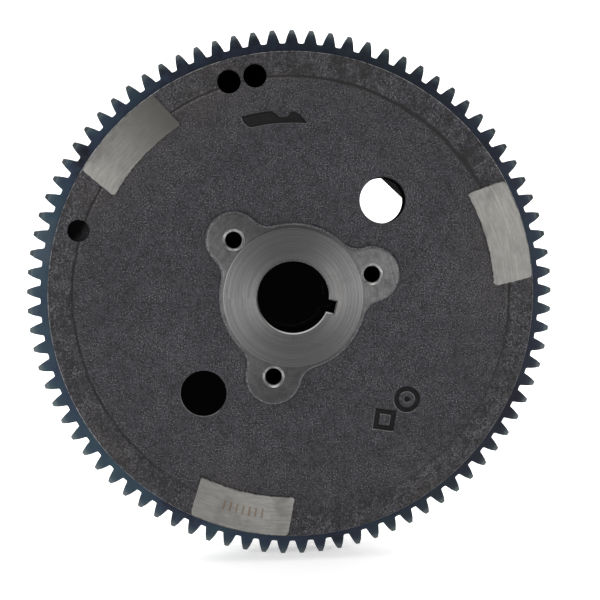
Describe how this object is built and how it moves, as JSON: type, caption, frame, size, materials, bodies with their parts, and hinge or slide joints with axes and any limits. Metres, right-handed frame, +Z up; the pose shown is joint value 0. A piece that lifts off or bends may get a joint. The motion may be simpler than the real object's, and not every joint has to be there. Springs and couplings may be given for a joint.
{
  "type": "flywheel",
  "caption": "Cast-iron small engine flywheel with a blued starter ring gear, a keyed three-lobed hub, and alternator magnets in its rear cavity.",
  "frame": {"origin": "on the crankshaft bore axis, in the plane of the ring gear's front face", "axes": "+Y along the bore towards the rear (magnet) side, the hub face looks along -Y, +Z up with the two balance holes near the top"},
  "size_m": [0.2174, 0.0465, 0.2174],
  "materials": {
    "cast_iron": "dark rough cast skin, turned bright on the hub, pads and rim",
    "blued_steel": "heat-blued steel with paler tooth corners",
    "ferrite": "matt sintered ferrite",
    "cage_plastic": "moulded black plastic",
    "plated_steel": "zinc plated sheet steel",
    "screw_steel": "zinc plated fasteners",
    "magnet_alloy": "ground magnet alloy",
    "pole_steel": "turned mild steel"
  },
  "bodies": {
    "root": {"flywheel_casting": "cast_iron", "starter_ring_gear": "blued_steel", "alternator_magnet_1": "ferrite", "alternator_magnet_2": "ferrite", "alternator_magnet_3": "ferrite", "alternator_magnet_4": "ferrite", "alternator_magnet_5": "ferrite", "alternator_magnet_6": "ferrite", "alternator_magnet_7": "ferrite", "alternator_magnet_8": "ferrite", "alternator_magnet_9": "ferrite", "alternator_magnet_10": "ferrite", "alternator_magnet_11": "ferrite", "alternator_magnet_12": "ferrite", "magnet_cage": "cage_plastic", "magnet_retaining_ring": "plated_steel", "retaining_ring_screws": "screw_steel", "retaining_ring_washers": "screw_steel", "ignition_magnet": "magnet_alloy", "leading_pole_shoe": "pole_steel", "trailing_pole_shoe": "pole_steel", "pole_shoe_screws": "screw_steel"}
  },
  "joints": []
}
